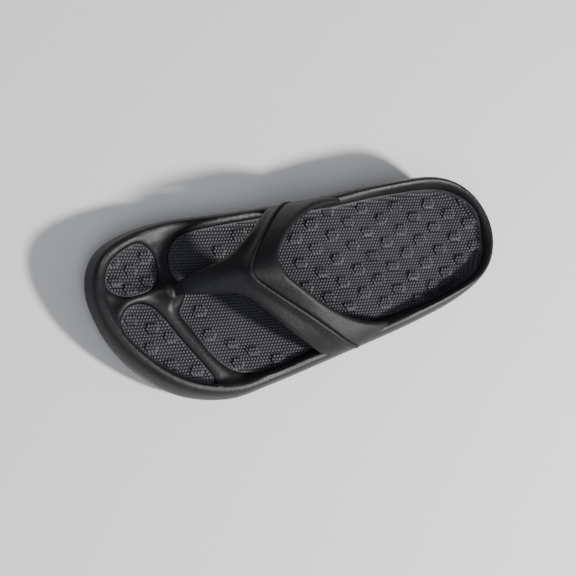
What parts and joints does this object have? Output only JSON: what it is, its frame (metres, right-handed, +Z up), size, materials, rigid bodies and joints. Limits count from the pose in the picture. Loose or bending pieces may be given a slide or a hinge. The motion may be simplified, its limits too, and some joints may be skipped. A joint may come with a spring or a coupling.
{
  "type": "flip flop",
  "caption": "Left moulded-foam thong sandal with a wide layered strap, a contoured footbed with textured pads, a heel cup and rubber tread plates.",
  "frame": {"origin": "on the ground under the middle of the sandal's bounding box", "axes": "+Y towards the toes, along the sandal's length; +X towards the big-toe side; +Z up"},
  "size_m": [0.107, 0.2777, 0.0575],
  "materials": {
    "midsole_foam": "matte closed-cell foam, charcoal black",
    "pad_foam": "matte foam with a fine raised dot texture, charcoal",
    "strap_foam": "smooth satin foam skin, black",
    "outsole_rubber": "matte rubber tread",
    "washer_plastic": "moulded plastic"
  },
  "bodies": {
    "root": {"midsole": "midsole_foam", "pad_big_toe": "pad_foam", "pad_lesser_toes": "pad_foam", "pad_ball_to_heel": "pad_foam", "strap_yoke": "strap_foam", "strap_collar": "strap_foam", "toe_post_washer": "washer_plastic", "outsole_forefoot": "outsole_rubber", "outsole_heel": "outsole_rubber"}
  },
  "joints": []
}
